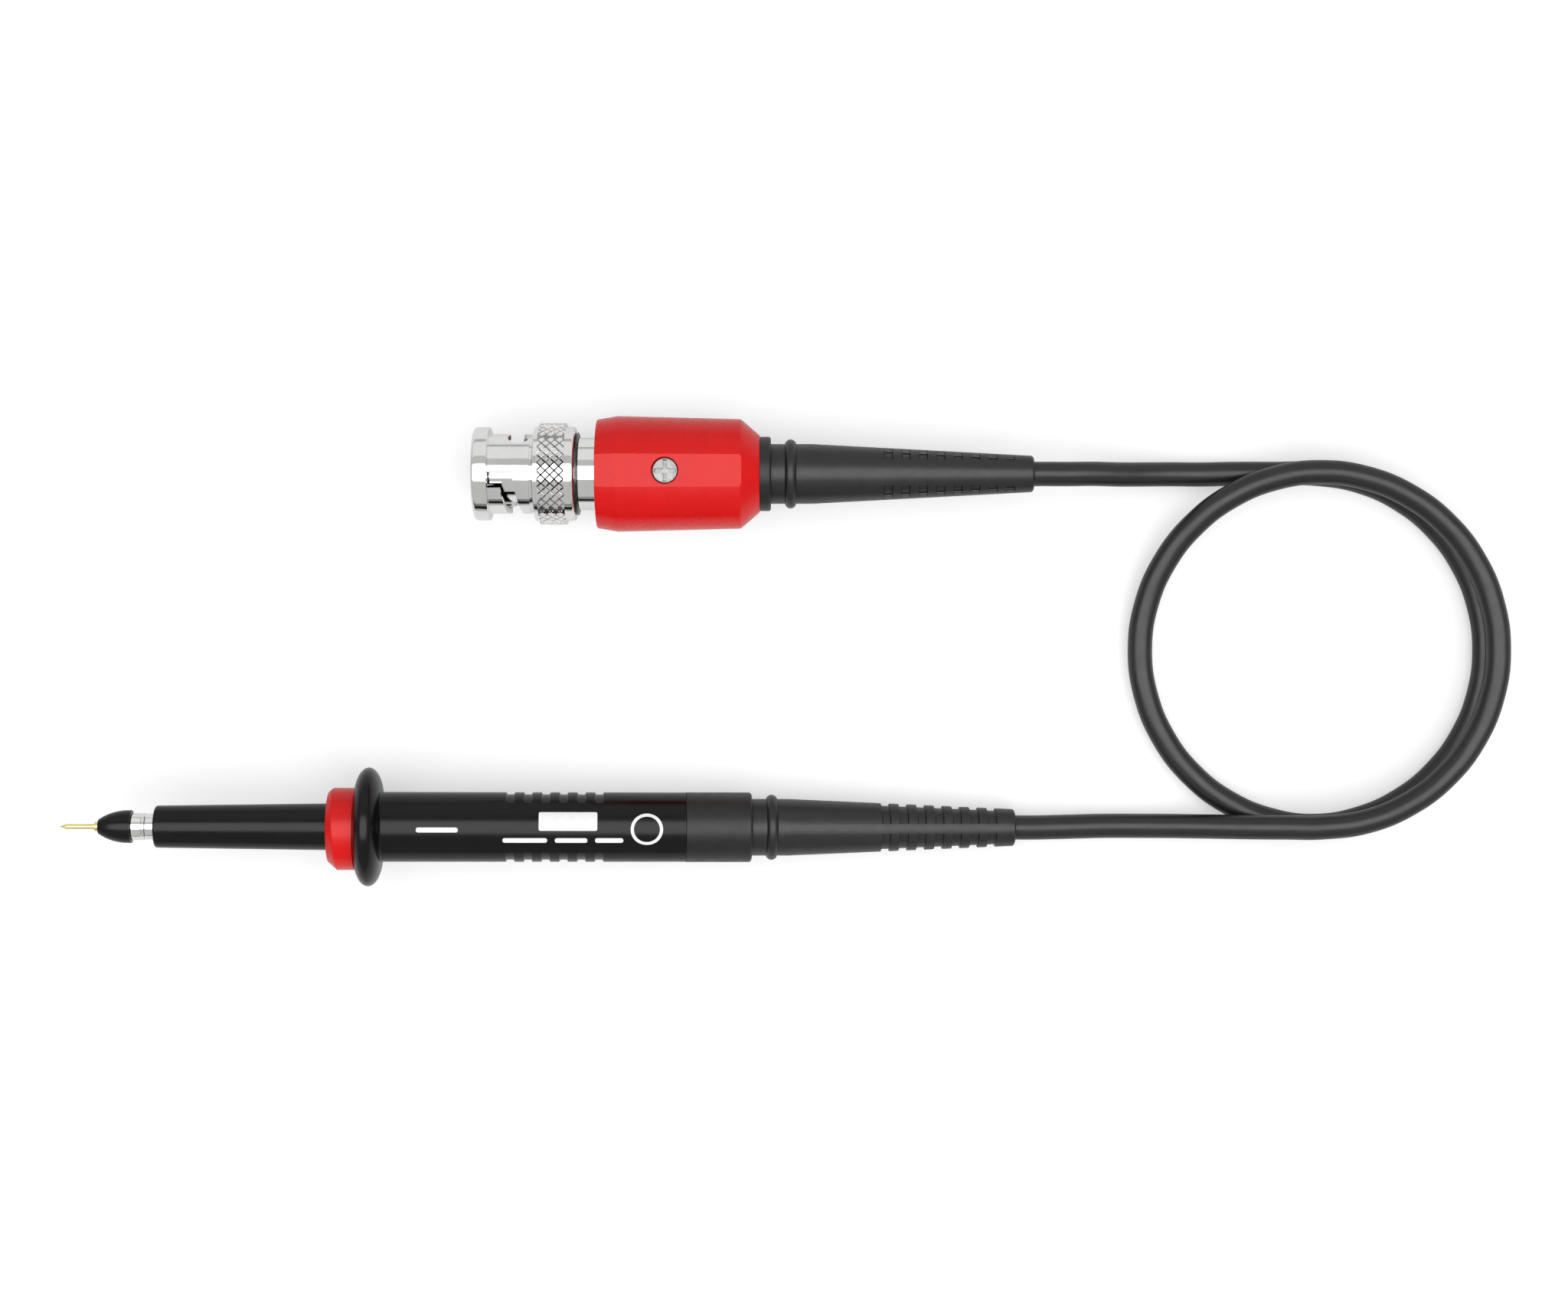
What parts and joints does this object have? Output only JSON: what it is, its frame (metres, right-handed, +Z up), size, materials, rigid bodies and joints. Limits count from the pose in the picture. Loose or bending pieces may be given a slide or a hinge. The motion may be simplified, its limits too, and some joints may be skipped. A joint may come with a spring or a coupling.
{
  "type": "oscilloscope probe",
  "caption": "Slim high-voltage oscilloscope probe with finger guard, coaxial cable and a compensation box with trimmer screw and bayonet plug.",
  "frame": {"origin": "middle of the footprint of the probe and the box on the table, without the free cable", "axes": "+X from the tip and the plug towards the cable, +Y from the probe to the compensation box, +Z up"},
  "size_m": [0.2078, 0.0674, 0.017],
  "materials": {
    "gilt": "polished",
    "nickel": "polished",
    "spring_steel": "satin",
    "brass_tube": "satin",
    "black_gloss": "gloss",
    "red_plastic": "semi-gloss",
    "grey_rubber": "satin",
    "grey_plastic": "satin",
    "cable_jacket": "satin",
    "white_ptfe": "satin",
    "ceramic": "glazed",
    "board": "semi-gloss",
    "chip": "matt",
    "silicone": "matt"
  },
  "bodies": {
    "probe_assembly": {"tip_socket": "gilt", "tip_spring": "spring_steel", "nose_cone": "black_gloss", "ground_ring": "nickel", "shield_tube": "brass_tube", "insulator_sleeve": "white_ptfe", "hv_resistors": "ceramic", "front_barrel": "black_gloss", "insulating_collar": "red_plastic", "handle": "black_gloss", "handle_shield": "nickel", "input_board": "board", "input_board_parts": "chip", "rear_sleeve": "grey_plastic", "probe_ferrule": "brass_tube", "probe_cable_end": "cable_jacket", "probe_strain_relief": "grey_rubber", "probe_marker_ring": "grey_rubber", "spring_washer": "spring_steel", "retaining_ring": "spring_steel", "bnc_body": "nickel", "outer_contact": "nickel", "bnc_gasket": "silicone", "bnc_insulator": "white_ptfe", "centre_pin": "gilt", "housing": "red_plastic", "inner_shield": "nickel", "compensation_board": "board", "compensation_parts": "chip", "trimmer_base": "white_ptfe", "rear_collar": "grey_plastic", "box_ferrule": "brass_tube", "box_cable_end": "cable_jacket", "box_strain_relief": "grey_rubber", "box_marker_ring": "grey_rubber", "cable": "cable_jacket"},
    "tip": {"contact_tip": "gilt"},
    "nut_slider": {"thrust_washer": "nickel"},
    "nut": {"coupling_nut": "nickel"},
    "trimmer": {"trimmer_screw": "nickel"}
  },
  "joints": [
    {"name": "tip_plunge", "type": "slide", "parent": "probe_assembly", "child": "tip", "axis": [0.9981, -0.0052, -0.0619], "range_m": [0, 0.0012], "stiffness_N_per_m": 400, "springref_m": -0.0002, "deforming": ["tip_spring"]},
    {"name": "nut_slide", "type": "slide", "parent": "probe_assembly", "child": "nut_slider", "axis": [-1, 0, 0], "range_m": [0, 0.0006], "stiffness_N_per_m": 3000, "springref_m": -0.0002, "deforming": ["spring_washer"]},
    {"name": "nut_turn", "type": "hinge", "parent": "nut_slider", "child": "nut", "pos_m": [-0.003, 0.02541, 0.0074], "axis": [1, 0, 0], "continuous": true},
    {"name": "trimmer_turn", "type": "hinge", "parent": "probe_assembly", "child": "trimmer", "pos_m": [0.0168, 0.02541, 0.0149], "axis": [0, 0, 1], "continuous": true}
  ]
}
